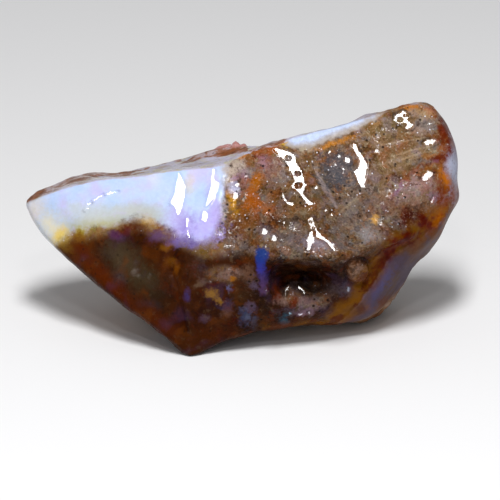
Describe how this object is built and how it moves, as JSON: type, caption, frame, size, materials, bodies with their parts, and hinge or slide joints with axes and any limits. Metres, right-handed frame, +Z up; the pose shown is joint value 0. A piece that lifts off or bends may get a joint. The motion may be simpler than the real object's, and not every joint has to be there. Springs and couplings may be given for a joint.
{
  "type": "rough fire opal",
  "caption": "Rough opal stone: a broken wedge with one milky glassy part, a sandy pitted crust with a small cave, and a flat underside to stand on.",
  "frame": {"origin": "on the floor, below the middle of the stone's bounding box", "axes": "+X along the stone from its thin tip to its thick end, +Z up, -Y towards the broad face's viewer"},
  "size_m": [0.0426, 0.02, 0.022],
  "materials": {
    "opal": "wet-looking gloss, milky blue-white to rust brown"
  },
  "bodies": {
    "root": {"opal": "opal"}
  },
  "joints": []
}
